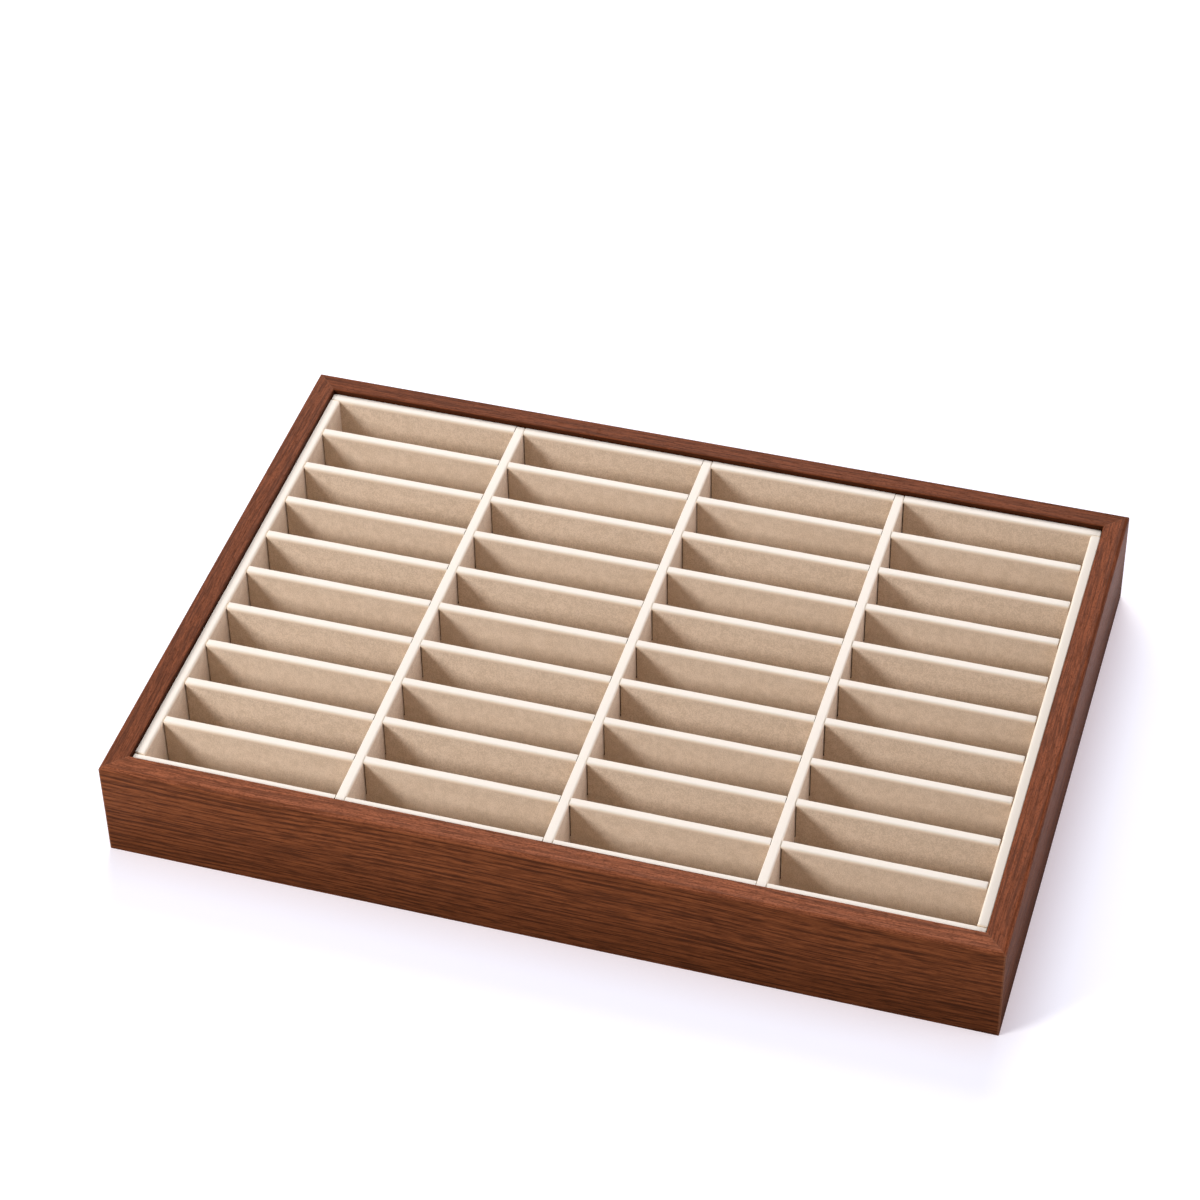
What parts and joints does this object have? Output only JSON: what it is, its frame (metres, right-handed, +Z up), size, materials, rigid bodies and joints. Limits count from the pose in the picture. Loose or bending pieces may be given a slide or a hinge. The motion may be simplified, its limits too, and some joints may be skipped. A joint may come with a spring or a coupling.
{
  "type": "jewelry tray",
  "caption": "Flat wooden display tray with a mitred frame and a lift-out insert of fabric-wrapped dividers that form rows of long, narrow compartments.",
  "frame": {"origin": "under the middle of the tray, on the surface that it stands on", "axes": "+X along the long side to the right, +Y to the back, +Z up; the front rail is at -Y"},
  "size_m": [0.35, 0.248, 0.044],
  "materials": {
    "walnut_veneer": "satin lacquered walnut veneer, grain along each rail",
    "beech": "raw beech",
    "base_board": "plain fibreboard",
    "staple_wire": "bright wire",
    "felt": "short dark brown felt",
    "card": "grey board",
    "divider_board": "thin dark fibreboard",
    "microfibre": "matte cream microfibre"
  },
  "bodies": {
    "tray": {"front_rail": "walnut_veneer", "right_rail": "walnut_veneer", "back_rail": "walnut_veneer", "left_rail": "walnut_veneer", "corner_keys": "beech", "base_panel": "base_board", "base_staples": "staple_wire", "base_felt": "felt"},
    "insert": {"insert_floor_board": "card", "insert_floor_lining": "microfibre", "front_wall_board": "divider_board", "front_wall_cover": "microfibre", "right_wall_board": "divider_board", "right_wall_cover": "microfibre", "back_wall_board": "divider_board", "back_wall_cover": "microfibre", "left_wall_board": "divider_board", "left_wall_cover": "microfibre", "long_divider_1_board": "divider_board", "long_divider_1_cover": "microfibre", "long_divider_2_board": "divider_board", "long_divider_2_cover": "microfibre", "long_divider_3_board": "divider_board", "long_divider_3_cover": "microfibre", "cross_divider_1_board": "divider_board", "cross_divider_1_cover": "microfibre", "cross_divider_2_board": "divider_board", "cross_divider_2_cover": "microfibre", "cross_divider_3_board": "divider_board", "cross_divider_3_cover": "microfibre", "cross_divider_4_board": "divider_board", "cross_divider_4_cover": "microfibre", "cross_divider_5_board": "divider_board", "cross_divider_5_cover": "microfibre", "cross_divider_6_board": "divider_board", "cross_divider_6_cover": "microfibre", "cross_divider_7_board": "divider_board", "cross_divider_7_cover": "microfibre", "cross_divider_8_board": "divider_board", "cross_divider_8_cover": "microfibre", "cross_divider_9_board": "divider_board", "cross_divider_9_cover": "microfibre"}
  },
  "joints": [
    {"name": "insert_lift", "type": "slide", "parent": "tray", "child": "insert", "axis": [0, 0, 1], "range_m": [0, 0.05]}
  ]
}
